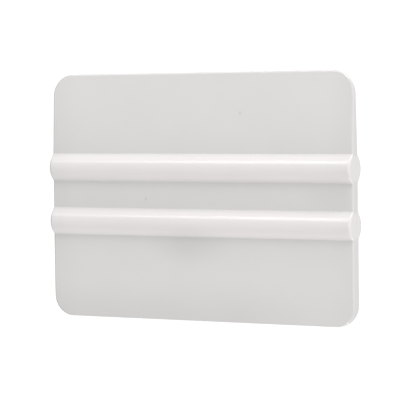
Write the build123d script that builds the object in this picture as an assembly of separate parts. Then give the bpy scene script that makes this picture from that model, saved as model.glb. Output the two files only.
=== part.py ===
from build123d import *
from math import cos, radians, tan
import os

# Hand squeegee for smoothing adhesive film: one moulded plastic card with two grip bars
# across both of its faces, lying flat on the bars. Millimetres and degrees. +X runs along
# the working edges, +Y across the card to its thin working edge, and +Z up out of its
# front face. The origin is the middle of the card.

# Outline of the card, with its thin edge at +Y and its firm edge at -Y
card_width = 100.0
card_depth = 73.0
thin_corner_radius = 6.6
firm_corner_radius = 6.0

# Grip bars: a round crest between two straight flanks on each face, with a small fillet
# where a flank meets the card. The shift is how far the pair sits towards the thin edge.
bar_spacing = 16.2
bar_shift = 0.4
crest_radius = 4.1
flank_angle = 45.0
root_radius = 0.25

# Thickness of the card, front face to back face: between the bars, on the thin blade at
# the bar's middle and at its edge, with a straight taper between those two, and on the
# firm blade
web_thickness = 3.3
thin_blade_root = 3.6
thin_blade_edge = 1.2
firm_blade_thickness = 3.6

# Convex nose that leads down to the firm edge, about 2.6 thick there
nose_length = 10.0
nose_radius = 105.0
nose_turn = 6.5

# Rounding along the whole rim, on both faces
rim_radius = 0.5

half_depth = card_depth / 2
thin_bar = bar_shift + bar_spacing / 2
firm_bar = bar_shift - bar_spacing / 2
flank_slope = tan(radians(flank_angle))
flanks_meet = crest_radius / cos(radians(flank_angle))
taper = (thin_blade_root - thin_blade_edge) / 2 / (half_depth - thin_bar)


def flank_reach(land_height, land_slope=0.0):
    """How far from a bar's middle its flank meets the face beside it."""
    return (flanks_meet - land_height) / (flank_slope - land_slope)


def front_half_of_section():
    """The section of the card on the front side of its middle plane, with Y across and Z
    up. Its nose runs a little past the firm edge, where the outline cuts it off.
    """
    web = web_thickness / 2
    firm = firm_blade_thickness / 2
    taper_reach = flank_reach(thin_blade_root / 2, taper)
    taper_end = thin_blade_root / 2 - taper * taper_reach
    faces = FilletPolyline(
        (half_depth, thin_blade_edge / 2),
        (thin_bar + taper_reach, taper_end),
        (thin_bar, flanks_meet),
        (thin_bar - flank_reach(web), web),
        (firm_bar + flank_reach(web), web),
        (firm_bar, flanks_meet),
        (firm_bar - flank_reach(firm), firm),
        (nose_length - half_depth, firm),
        radius=[root_radius, crest_radius, root_radius] * 2,
    )
    nose = JernArc(faces @ 1, (-1, 0), nose_radius, nose_turn)
    nose_end = nose @ 1
    closing = Polyline(nose_end, (nose_end.X, 0), (half_depth, 0), faces @ 0)
    return make_face([faces, nose, closing])


def outline():
    """The card seen from the front: a rectangle with rounded corners."""
    rectangle = Rectangle(card_width, card_depth)
    thin_corners = rectangle.vertices().group_by(Axis.Y)[-1]
    softened = fillet(thin_corners, thin_corner_radius)
    firm_corners = softened.vertices().group_by(Axis.Y)[0]
    return fillet(firm_corners, firm_corner_radius)


def card_with_bars():
    """The full section along the whole width, cut to the rounded outline."""
    front = front_half_of_section()
    section = Plane.YZ * (front + mirror(front, about=Plane.XZ))
    slab = extrude(section, amount=card_width / 2, both=True)
    cutter = extrude(outline(), amount=2 * crest_radius, both=True)
    return slab & cutter


def rim(body):
    """The front and back edges of the wall that runs round the outline."""

    def is_wall(face):
        return abs(face.normal_at().Z) < 0.01

    def crosses_the_wall(edge):
        return abs(edge.tangent_at(0.5).Z) > 0.99

    wall_edges = body.faces().filter_by(is_wall).edges()
    return wall_edges.filter_by(lambda edge: not crosses_the_wall(edge))


def squeegee_body():
    """The whole moulding."""
    body = card_with_bars()
    return fillet(rim(body), rim_radius)


os.makedirs("parts", exist_ok=True)
export_step(squeegee_body(), "parts/squeegee_body.step")
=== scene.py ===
import math

import bmesh
import bpy
import numpy as np
from mathutils import Matrix, Vector

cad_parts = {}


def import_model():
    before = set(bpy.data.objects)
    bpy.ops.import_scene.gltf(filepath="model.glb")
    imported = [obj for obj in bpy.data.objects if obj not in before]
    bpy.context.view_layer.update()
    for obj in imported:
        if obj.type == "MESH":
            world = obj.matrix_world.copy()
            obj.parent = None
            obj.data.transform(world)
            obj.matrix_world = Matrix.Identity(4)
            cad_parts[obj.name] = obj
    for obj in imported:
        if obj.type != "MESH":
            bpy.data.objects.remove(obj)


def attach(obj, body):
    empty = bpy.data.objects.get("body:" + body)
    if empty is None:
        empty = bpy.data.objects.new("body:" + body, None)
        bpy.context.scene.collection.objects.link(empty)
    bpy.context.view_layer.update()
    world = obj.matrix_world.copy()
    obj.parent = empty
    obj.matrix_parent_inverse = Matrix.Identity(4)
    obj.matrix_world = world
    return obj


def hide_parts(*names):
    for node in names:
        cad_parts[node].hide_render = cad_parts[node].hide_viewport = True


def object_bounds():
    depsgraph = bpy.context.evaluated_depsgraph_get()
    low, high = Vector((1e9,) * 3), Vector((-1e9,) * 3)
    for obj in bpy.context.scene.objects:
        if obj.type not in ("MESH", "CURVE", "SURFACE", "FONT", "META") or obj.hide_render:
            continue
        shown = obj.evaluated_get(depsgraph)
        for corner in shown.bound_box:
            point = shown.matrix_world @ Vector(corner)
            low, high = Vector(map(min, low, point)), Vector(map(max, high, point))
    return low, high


# The looks of a hand squeegee: one white moulded card that lies flat on its two grip bars.
# Metres. +X runs along the working edges, +Y to the thin edge, +Z out of the front face.
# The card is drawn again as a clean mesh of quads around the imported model, and gets the
# fine things that a moulding has: a parting line, a slight waviness, sink marks and specks.

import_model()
cad_low, cad_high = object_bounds()

MM = 0.001

# Moulding line round the wall, where the two halves of the mould met
parting_ridge = 0.02 * MM
parting_half_width = 0.12 * MM

# Outline, set in by the height of the moulding line so that the line ends at the CAD box
half_width = cad_high.x - parting_ridge
half_depth = cad_high.y - parting_ridge
thin_corner_radius = 6.6 * MM
firm_corner_radius = 6.0 * MM
rim_radius = 0.5 * MM
bar_end_radius = 0.8 * MM

# Slight waviness of the faces: its height, how far along X and along Y each of its two waves
# takes to turn by a radian, how they differ on the two faces, and how far in from the rim
# they reach their full height
ripple_height = 0.008 * MM
ripple_lengths = (9 * MM, 7 * MM)
swell_lengths = (14 * MM, 11 * MM)
side_phase = 1.3
wave_border = 4 * MM

# Section, as in the CAD: the middles of the two grip bars, their shape, and half of the
# card's thickness between them, at the thin blade's root and edge, and on the firm blade.
# The crests leave room for the waviness in the CAD box.
thin_bar = 8.5 * MM
firm_bar = -7.7 * MM
crest_radius = cad_high.z - ripple_height
flank_angle = math.radians(45)
root_radius = 0.25 * MM
web_half = 1.65 * MM
thin_root_half = 1.8 * MM
thin_edge_half = 0.6 * MM
firm_half = 1.8 * MM
nose_length = 10.0 * MM
nose_radius = 105.0 * MM

# Shallow sink marks: the x, y and reach along X of each, and the greyness, how much painted
# shade darkens the plastic there. They are longer than wide by the stretch.
sink_depth = 0.02 * MM
sink_stretch = 2.2
sinks = [
    (-3 * MM, -14 * MM, 17 * MM, 0.09),
    (42 * MM, 0.5 * MM, 10 * MM, 0.03),
]

# Plastic: the white of the thin card and of the thick bars, and how it varies. The bars' whiter
# colour is a painted glow, both ends get a painted shade, and the thin edge a painted light.
card_white = (0.750, 0.730, 0.726, 1)
bar_white_painted_glow = (0.822, 0.795, 0.788, 1)
thin_edge_painted_light = 0.025
end_shade_length = 9 * MM
end_painted_shade = 0.035
cloud_scale = 55
cloud_grey = 0.008
refractive_index = 1.49

# Surface: fine streaks along X and an even grain. A scale is lumps to the metre, and along X
# the streaks' is a small share of that, the stretch. Both are slight bumps, and the streaks
# also vary the roughness.
roughness = 0.18
streak_scale = 900
streak_stretch = 0.06
streak_roughness = 0.015
streak_height = 0.7
grain_scale = 1600
bump_strength = 0.1
bump_height = 0.01 * MM

# Towards the firm edge the plastic is painted darker, a painted shade, and is rougher: how far
# this reaches in, how much darker and rougher it is, and the stretch along X over which it falls
# to its least
firm_edge_reach = 13 * MM
firm_edge_painted_shade = 0.075
firm_edge_roughness = 0.05
firm_edge_from = 10 * MM
firm_edge_until = 42 * MM
firm_edge_least = 0.25

# Specks of dirt in the plastic: the two that show, as x, y and radius, and tiny ones at
# random. Those lie in cells, so many to the metre. A share of the cells has one, and its
# radius is the dust size, in cells.
specks = [
    (14.0 * MM, 24.4 * MM, 0.65 * MM),
    (-17.5 * MM, -0.8 * MM, 0.6 * MM),
]
speck_grey = 0.16
dust_cells = 70
dust_share = 0.12
dust_size = 0.012

# Mesh spacing. The support is how near a curve's end its nearest row lies, and rows of the
# section nearer each other than the least step are one.
face_step = 1.0 * MM
turn_step = math.radians(5)
rim_steps = 6
wall_steps = 3
nose_steps = 10
corner_columns = 10
support = 0.12 * MM
least_step = 1e-7

# Studio: how far off the lights and the black flag are, half of the floor's and the flag's
# width, the dome's radius, and the strength of the light from all round
softbox_distance = 1.2
flag_distance = 0.8
flag_reach = 0.8
floor_reach = 6.0
dome_radius = 5.5
world_strength = 0.768


# ---------------------------------------------------------------- section of the card

def run(start, end, tilt):
    """Points along a straight stretch of the section, from y, z to y, z, with the tilt of
    the face there. They crowd a little at both ends, where a curve begins.
    """
    (y0, z0), (y1, z1) = start, end
    length = abs(y1 - y0)
    count = max(2, round(length / face_step))
    share = np.linspace(0, 1, count + 1)
    share = np.unique(np.concatenate([share, [support / length, 1 - support / length]]))
    y = y0 + share * (y1 - y0)
    z = z0 + share * (z1 - z0)
    return np.stack([y, z, np.full_like(y, tilt)], axis=1)


def arc(centre, radius, start_tilt, end_tilt, steps):
    """Points along an arc of the section. A tilt is the angle of the face's normal from
    straight up, towards the thin edge. A negative radius makes a hollow arc.
    """
    tilt = np.linspace(start_tilt, end_tilt, steps + 1)
    y = centre[0] + radius * np.sin(tilt)
    z = centre[1] + radius * np.cos(tilt)
    return np.stack([y, z, tilt], axis=1)


def rounded(corners):
    """A path from the first corner to the last, with each one between rounded to its own
    radius. A corner is y, z and radius. Gives y, z and tilt all along.
    """
    spots = [np.array([y, z]) for y, z, _ in corners]
    tilts = [math.atan2(b[1] - a[1], a[0] - b[0]) for a, b in zip(spots, spots[1:])]
    pieces = []
    start = spots[0]
    for (y, z, radius), before, after in zip(corners[1:], tilts, tilts[1:]):
        turn = after - before
        side = -math.copysign(1, turn)
        cut = radius * math.tan(abs(turn) / 2)
        end = np.array([y + cut * math.cos(before), z - cut * math.sin(before)])
        centre = end - side * radius * np.array([math.sin(before), math.cos(before)])
        pieces.append(run(start, end, before))
        pieces.append(arc(centre, side * radius, before, after, math.ceil(abs(turn) / turn_step)))
        start = pieces[-1][-1, :2]
    return pieces + [run(start, spots[-1], tilts[-1])]


def section():
    """The front face from the thin edge to the firm edge: y, z and tilt of each point."""
    slope = math.tan(flank_angle)
    flanks_meet = crest_radius / math.cos(flank_angle)
    taper = (thin_root_half - thin_edge_half) / (half_depth - thin_bar)
    taper_reach = (flanks_meet - thin_root_half) / (slope - taper)
    web_reach = (flanks_meet - web_half) / slope
    firm_reach = (flanks_meet - firm_half) / slope
    shoulder = nose_length - half_depth
    pieces = rounded([
        (half_depth - rim_radius, thin_edge_half + taper * rim_radius, 0),
        (thin_bar + taper_reach, thin_root_half - taper * taper_reach, root_radius),
        (thin_bar, flanks_meet, crest_radius),
        (thin_bar - web_reach, web_half, root_radius),
        (firm_bar + web_reach, web_half, root_radius),
        (firm_bar, flanks_meet, crest_radius),
        (firm_bar - firm_reach, firm_half, root_radius),
        (shoulder, firm_half, 0),
    ])
    nose_tilt = -math.asin((nose_length - rim_radius) / nose_radius)
    pieces.append(arc((shoulder, firm_half - nose_radius), nose_radius, 0, nose_tilt, nose_steps))
    points = np.concatenate(pieces)
    keep = np.append(True, np.diff(points[:, 0]) < -least_step)
    return points[keep]


# ---------------------------------------------------------------- mesh of the moulding

def columns():
    """Places along X of the mesh's columns, closer together at the rounded corners."""
    edge = half_width - rim_radius
    corner = half_width - thin_corner_radius
    middle = np.linspace(-corner, corner, round(2 * corner / face_step) + 1)
    outer = np.linspace(corner, edge, corner_columns + 1)[1:]
    outer = np.append(outer, edge - support)
    return np.sort(np.concatenate([-outer, middle, outer]))


def rows(profile):
    """The section's y places, with more of them at the rounded corners."""
    y = profile[:, 0]
    thin = np.linspace(y[0] - thin_corner_radius + rim_radius, y[0], corner_columns + 1)
    firm = np.linspace(y[-1] + firm_corner_radius - rim_radius, y[-1], corner_columns + 1)
    middle = y[(y < thin[0] - support) & (y > firm[0] + support)]
    ends = [y[0] - support, y[-1] + support]
    return -np.sort(-np.concatenate([thin, middle, firm, ends]))


def corner_centre(y):
    """Middle of the corner's arc on the side of the card that y lies on, and its radius."""
    radius = np.where(y > 0, thin_corner_radius, firm_corner_radius)
    return half_width - radius, half_depth - radius, radius


def round_corners(x, y):
    """Squeeze the corners of the rectangular grid into the rounded corners."""
    centre_x, centre_y, radius = corner_centre(y)
    inner = radius - rim_radius
    a = np.clip((np.abs(x) - centre_x) / inner, 0, 1)
    b = np.clip((np.abs(y) - centre_y) / inner, 0, 1)
    corner = (a > 0) & (b > 0)
    round_x = np.sign(x) * (centre_x + inner * a * np.sqrt(1 - b * b / 2))
    round_y = np.sign(y) * (centre_y + inner * b * np.sqrt(1 - a * a / 2))
    return np.where(corner, round_x, x), np.where(corner, round_y, y)


def outward(x, y):
    """Direction out of the outline, at points on its border."""
    centre_x, centre_y, _ = corner_centre(y)
    out_x = np.sign(x) * np.maximum(np.abs(x) - centre_x, 0)
    out_y = np.sign(y) * np.maximum(np.abs(y) - centre_y, 0)
    length = np.hypot(out_x, out_y)
    return np.stack([out_x / length, out_y / length, np.zeros_like(x)], axis=1)


def fade(distance, width):
    """0 at a border, rising smoothly to 1 at width away from it."""
    share = np.clip(distance / width, 0, 1)
    return share * share * (3 - 2 * share)


def end_radius(y, z):
    """Radius of the rounding at the ends of the card, fuller where a grip bar ends."""
    share = fade(z - firm_half, crest_radius - firm_half)
    return rim_radius + (bar_end_radius - rim_radius) * share


def wave(x, y, side):
    """Height of the slight waviness and the sink marks that the moulding cools into. The
    side is 1 on the front and -1 on the back.
    """
    phase = side_phase * side
    ripple = np.cos(x / ripple_lengths[0] + phase) * np.cos(y / ripple_lengths[1] - phase)
    ripple += np.cos(x / swell_lengths[0] + y / swell_lengths[1] + 2 * phase)
    height = ripple_height * ripple / 2
    for sink_x, sink_y, reach, _ in sinks:
        away = np.hypot(x - sink_x, sink_stretch * (y - sink_y)) / (0.5 * reach)
        height -= sink_depth * np.exp(-away * away)
    from_rim = np.minimum(half_width - np.abs(x), half_depth - np.abs(y))
    return height * fade(from_rim - rim_radius, wave_border)


def border(row_count, column_count):
    """The rows and the columns of the grid's border points, once round it."""
    spots = [(0, c) for c in range(column_count)]
    spots += [(r, column_count - 1) for r in range(1, row_count)]
    spots += [(row_count - 1, c) for c in range(column_count - 2, -1, -1)]
    spots += [(r, 0) for r in range(row_count - 2, 0, -1)]
    return tuple(np.array(spots).T)


def rim_loop(edge, tilt, radius, share):
    """The front's edge moved round the rim's rounding, share of the way down to the wall."""
    up = np.stack([np.zeros_like(tilt), np.sin(tilt), np.cos(tilt)], axis=1)
    out = outward(edge[:, 0], edge[:, 1])
    lean = np.sum(up * out, axis=1, keepdims=True)
    across = out - lean * up
    across /= np.linalg.norm(across, axis=1, keepdims=True)
    turn = share * np.arccos(lean)
    direction = up * np.cos(turn) + across * np.sin(turn)
    return edge + radius * (direction - up + out * lean * share)


def side_loops(edge, tilt, radius):
    """Loops of points from the front's edge round the rim, down the wall, over the moulding
    line, and on to the back in the same way.
    """
    shares = [k / rim_steps for k in range(1, rim_steps + 1)]
    half = [rim_loop(edge, tilt, radius, share) for share in shares]
    wall_top = half[-1]
    for k in range(1, wall_steps + 1):
        level = wall_top.copy()
        level[:, 2] += (parting_half_width - wall_top[:, 2]) * k / wall_steps
        half.append(level)
    ridge = wall_top + outward(edge[:, 0], edge[:, 1]) * parting_ridge
    ridge[:, 2] = 0
    flip = np.array([1, 1, -1])
    return half + [ridge] + [loop * flip for loop in half[::-1]]


def grid_quads(number):
    """The quads of a grid of points, from the points' numbers."""
    quads = np.stack([number[:-1, :-1], number[1:, :-1], number[1:, 1:], number[:-1, 1:]], axis=2)
    return quads.reshape(-1, 4)


def strip_quads(upper, lower):
    """The quads between two closed loops of points, from the points' numbers."""
    return np.stack([upper, np.roll(upper, -1), np.roll(lower, -1), lower], axis=1)


def moulding_mesh():
    """The whole moulding as a closed mesh of quads: the front, the back, and the strips
    between the loops that join their edges.
    """
    profile = section()
    x, y = np.meshgrid(columns(), rows(profile))
    x, y = round_corners(x, y)
    climb = profile[::-1]
    z = np.interp(y, climb[:, 0], climb[:, 1])
    tilt = np.interp(y, climb[:, 0], climb[:, 2])
    radius = end_radius(y, z)
    x = x * (half_width - radius) / (half_width - rim_radius)

    around = border(*x.shape)
    edge = np.stack([x, y, z], axis=2)[around]
    loops = side_loops(edge, tilt[around], radius[around][:, None])
    front = np.stack([x, y, z + wave(x, y, 1)], axis=2)
    back = np.stack([x, y, -z - wave(x, y, -1)], axis=2)
    vertices = np.concatenate([front.reshape(-1, 3), back.reshape(-1, 3), *loops])

    number = np.arange(x.size).reshape(x.shape)
    quads = grid_quads(number)
    faces = [quads, quads[:, ::-1] + x.size]
    start = number[around]
    loop_starts = [2 * x.size + k * len(start) for k in range(len(loops))]
    strips = [loop_start + np.arange(len(start)) for loop_start in loop_starts]
    strips = [start, *strips, start + x.size]
    faces += [strip_quads(upper, lower) for upper, lower in zip(strips, strips[1:])]

    mesh = bpy.data.meshes.new("squeegee_card")
    mesh.from_pydata(vertices.tolist(), [], np.concatenate(faces).tolist())
    mesh.validate()
    mesh.polygons.foreach_set("use_smooth", [True] * len(mesh.polygons))
    mesh.update()
    return mesh


# ---------------------------------------------------------------- material

def node(tree, kind, **settings):
    """A shader node, with its properties set by name and its sockets by their number."""
    made = tree.nodes.new(kind)
    for name, value in settings.items():
        if name.startswith("input_"):
            made.inputs[int(name.removeprefix("input_"))].default_value = value
        else:
            setattr(made, name, value)
    return made


def maths(tree, operation, a, b=0.0):
    """The output of a Math node. Either side is a number or another node's output."""
    made = node(tree, "ShaderNodeMath", operation=operation)
    for socket, value in zip(made.inputs, (a, b)):
        if isinstance(value, (int, float)):
            socket.default_value = value
        else:
            tree.links.new(value, socket)
    return made.outputs[0]


def ramp(tree, value, low, high, to_low, to_high):
    """A value that goes smoothly from to_low to to_high while another goes from low to high."""
    made = node(tree, "ShaderNodeMapRange", interpolation_type="SMOOTHSTEP", input_1=low,
                input_2=high, input_3=to_low, input_4=to_high)
    tree.links.new(value, made.inputs[0])
    return made.outputs[0]


def noise(tree, place, scale, detail=2.0, stretch=(1, 1, 1)):
    """Smooth noise from 0 to 1, with about scale lumps to the metre."""
    mapping = node(tree, "ShaderNodeMapping", input_3=stretch)
    tree.links.new(place, mapping.inputs[0])
    made = node(tree, "ShaderNodeTexNoise", input_2=scale, input_3=detail)
    tree.links.new(mapping.outputs[0], made.inputs[0])
    return made.outputs[0]


def dust(tree, place):
    """1 on the few tiny dark specks that lie at random in the plastic, and 0 elsewhere."""
    cells = node(tree, "ShaderNodeTexVoronoi", input_2=dust_cells)
    tree.links.new(place, cells.inputs[0])
    chance = node(tree, "ShaderNodeSeparateColor")
    tree.links.new(cells.outputs["Color"], chance.inputs[0])
    chosen = maths(tree, "GREATER_THAN", chance.outputs[0], 1 - dust_share)
    near = ramp(tree, cells.outputs["Distance"], 0.5 * dust_size, dust_size, 1, 0)
    return maths(tree, "MULTIPLY", chosen, near)


def patch(tree, place, x, y, reach, stretch=1.0):
    """1 at a spot on the card and fading to 0 at its reach along X. It can be narrower in Y."""
    flat = node(tree, "ShaderNodeMapping", input_1=(-x, -stretch * y, 0), input_3=(1, stretch, 0))
    tree.links.new(place, flat.inputs[0])
    away = node(tree, "ShaderNodeVectorMath", operation="LENGTH")
    tree.links.new(flat.outputs[0], away.inputs[0])
    return ramp(tree, away.outputs["Value"], 0, reach, 1, 0)


def on_bars(tree, y):
    """1 on the two grip bars and 0 on the card."""
    away = [maths(tree, "SUBTRACT", y, bar) for bar in (thin_bar, firm_bar)]
    away = [maths(tree, "ABSOLUTE", distance) for distance in away]
    return ramp(tree, maths(tree, "MINIMUM", *away), 0.75 * crest_radius, crest_radius, 1, 0)


def near_firm_edge(tree, x, y):
    """1 where the firm edge is painted darkest, a painted shade, and roughest, and fading to 0 up
    the card.
    """
    near_edge = ramp(tree, y, -half_depth, firm_edge_reach - half_depth, 1, 0)
    along = ramp(tree, x, firm_edge_from, firm_edge_until, 1, firm_edge_least)
    return maths(tree, "MULTIPLY", near_edge, along)


def shade(tree, place, x, y, firm_edge_mask):
    """How light the plastic is, as a factor close to 1: random cloud and specks of dirt, with
    painted light at the thin edge and painted shade at the ends, towards the firm edge and at the
    sinks.
    """
    cloud = noise(tree, place, cloud_scale, 3)
    from_middle = maths(tree, "ABSOLUTE", x)
    parts = [
        ramp(tree, cloud, 0.3, 0.7, 1 - cloud_grey, 1 + cloud_grey),
        # painted light: lighter towards the thin edge
        ramp(tree, y, thin_bar, half_depth, 0, thin_edge_painted_light),
        # painted shade: darker at both ends
        ramp(tree, from_middle, half_width - end_shade_length, half_width, 0, -end_painted_shade),
        # painted shade: darker towards the firm edge
        maths(tree, "MULTIPLY", firm_edge_mask, -firm_edge_painted_shade),
        maths(tree, "MULTIPLY", dust(tree, place), -speck_grey),
    ]
    for speck in specks:
        parts.append(maths(tree, "MULTIPLY", patch(tree, place, *speck), -speck_grey))
    # painted shade: darker patches at the sinks
    for sink_x, sink_y, reach, sink_painted_shade in sinks:
        sink = patch(tree, place, sink_x, sink_y, reach, sink_stretch)
        parts.append(maths(tree, "MULTIPLY", sink, -sink_painted_shade))
    total = parts[0]
    for part in parts[1:]:
        total = maths(tree, "ADD", total, part)
    return total


def white_plastic():
    """Semi-gloss white moulded plastic. The thick grip bars are painted whiter than the card, a
    painted glow, and its ends darker, a painted shade. Its firm edge is painted darker and is
    rougher.
    """
    material = bpy.data.materials.new("white_plastic")
    material.use_nodes = True
    tree = material.node_tree
    shader = tree.nodes["Principled BSDF"]
    shader.inputs["IOR"].default_value = refractive_index
    place = node(tree, "ShaderNodeTexCoord").outputs["Object"]
    axes = node(tree, "ShaderNodeSeparateXYZ")
    tree.links.new(place, axes.inputs[0])
    x, y, _ = axes.outputs
    firm_edge_mask = near_firm_edge(tree, x, y)

    # The bars' whiter colour is a painted glow, standing in for light that the thick plastic lets
    # through.
    white = node(tree, "ShaderNodeMix", data_type="RGBA", input_6=card_white, input_7=bar_white_painted_glow)
    tree.links.new(on_bars(tree, y), white.inputs[0])
    tinted = node(tree, "ShaderNodeVectorMath", operation="SCALE")
    tree.links.new(white.outputs[2], tinted.inputs[0])
    tree.links.new(shade(tree, place, x, y, firm_edge_mask), tinted.inputs["Scale"])
    tree.links.new(tinted.outputs[0], shader.inputs["Base Color"])

    streaks = noise(tree, place, streak_scale, 2, stretch=(streak_stretch, 1, 1))
    least = roughness - streak_roughness
    most = roughness + streak_roughness
    rough = ramp(tree, streaks, 0.35, 0.65, least, most)
    rough = maths(tree, "ADD", rough, maths(tree, "MULTIPLY", firm_edge_mask, firm_edge_roughness))
    tree.links.new(rough, shader.inputs["Roughness"])

    grain = noise(tree, place, grain_scale, 3)
    grain = maths(tree, "ADD", grain, maths(tree, "MULTIPLY", streaks, streak_height))
    bump = node(tree, "ShaderNodeBump", input_0=bump_strength, input_1=bump_height)
    tree.links.new(grain, bump.inputs["Height"])
    tree.links.new(bump.outputs[0], shader.inputs["Normal"])
    return material


# ---------------------------------------------------------------- studio

def matt(name, base, glow):
    """A matt grey, from black at 0 to white at 1, that can give off some light of its own."""
    material = bpy.data.materials.new(name)
    material.use_nodes = True
    shader = material.node_tree.nodes["Principled BSDF"]
    shader.inputs["Base Color"].default_value = (base, base, base, 1)
    shader.inputs["Roughness"].default_value = 0.9
    shader.inputs["Emission Color"].default_value = (1, 1, 1, 1)
    shader.inputs["Emission Strength"].default_value = glow
    return material


def square(name, corner):
    """A square mesh. Its four corners are where corner puts each pair of signs."""
    mesh = bpy.data.meshes.new(name)
    corners = [corner(a, b) for a, b in ((-1, -1), (1, -1), (1, 1), (-1, 1))]
    mesh.from_pydata(corners, [], [(0, 1, 2, 3)])
    return mesh


def stage_piece(name, mesh, material, in_view=True):
    """Puts a piece of the studio in place. In view, the camera sees it, but the plastic
    neither mirrors it nor is lit by it. Out of view, it is the other way round.
    """
    mesh.materials.append(material)
    piece = bpy.data.objects.new(name, mesh)
    piece.visible_camera = in_view
    piece.visible_glossy = not in_view
    piece.visible_diffuse = not in_view
    bpy.context.scene.collection.objects.link(piece)
    return piece


def floor():
    """A plain white floor under the grip bars, bright enough to lose its shadows."""
    mesh = square("floor", lambda a, b: (a * floor_reach, b * floor_reach, cad_low.z))
    stage_piece("floor", mesh, matt("floor_white", 0.4, 0.8))


def backdrop():
    """A white dome all round, so that the floor has no visible far edge."""
    mesh = bpy.data.meshes.new("backdrop")
    dome = bmesh.new()
    bmesh.ops.create_uvsphere(dome, u_segments=64, v_segments=32, radius=dome_radius)
    dome.to_mesh(mesh)
    dome.free()
    piece = stage_piece("backdrop", mesh, matt("backdrop_white", 0, 1.0))
    piece.visible_shadow = False


def flag():
    """A black card off to the left, out of the camera's sight. It is what the rounded rim
    mirrors at that end of the squeegee, so it draws a darker line along it.
    """
    mesh = square("flag", lambda a, b: (-flag_distance, a * flag_reach, b * flag_reach))
    stage_piece("flag", mesh, matt("flag_black", 0.02, 0), in_view=False)


def aim(direction, roll=0.0):
    """Turns -Z to look back along direction, with +Y of the object up the picture."""
    swing = math.atan2(direction.x, direction.z)
    lift = math.asin(direction.y)
    turn = Matrix.Rotation(swing, 4, "Y") @ Matrix.Rotation(-lift, 4, "X")
    return turn @ Matrix.Rotation(roll, 4, "Z")


def softbox(name, direction, size, power):
    """A rectangular soft light that shines at the squeegee from a direction."""
    light = bpy.data.lights.new(name, "AREA")
    light.shape = "RECTANGLE"
    light.size, light.size_y = size
    light.energy = power
    lamp = bpy.data.objects.new(name, light)
    direction = Vector(direction).normalized()
    lamp.matrix_world = Matrix.Translation(direction * softbox_distance) @ aim(direction)
    lamp.visible_camera = False
    bpy.context.scene.collection.objects.link(lamp)


def world():
    """Even white light from all round."""
    sky = bpy.data.worlds.new("studio")
    sky.use_nodes = True
    background = sky.node_tree.nodes["Background"]
    background.inputs["Color"].default_value = (1, 1, 1, 1)
    background.inputs["Strength"].default_value = world_strength
    bpy.context.scene.world = sky


def camera():
    """Looks at the front face from a little to its right, and just above its middle."""
    swing, lift, roll = math.radians(28.70), math.radians(2.86), math.radians(-0.79)
    distance = 0.6255
    direction = Vector((
        math.sin(swing) * math.cos(lift), math.sin(lift), math.cos(swing) * math.cos(lift)
    ))
    data = bpy.data.cameras.new("camera")
    data.sensor_width = 36
    data.lens = 192.0
    data.shift_x, data.shift_y = -0.0012, -0.0077
    data.clip_start, data.clip_end = 0.01, 20
    eye = bpy.data.objects.new("camera", data)
    eye.matrix_world = Matrix.Translation(direction * distance) @ aim(direction, roll)
    bpy.context.scene.collection.objects.link(eye)
    bpy.context.scene.camera = eye


# ---------------------------------------------------------------- scene

card = bpy.data.objects.new("squeegee_card", moulding_mesh())
bpy.context.scene.collection.objects.link(card)
card.data.materials.append(white_plastic())
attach(card, "root")
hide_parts("squeegee_body")

floor()
backdrop()
flag()
world()
softbox("top", (0.36, 0.90, 0.21), (1.0, 0.33), 7.6)
softbox("key", (-0.40, 0.745, 0.535), (0.36, 0.45), 1.85)
softbox("right", (0.94, -0.12, 0.32), (0.9, 0.9), 1.0)
softbox("bottom", (0.25, -0.96, 0.03), (1.0, 0.3), 7.5)
camera()
bpy.context.scene.view_settings.view_transform = "Standard"
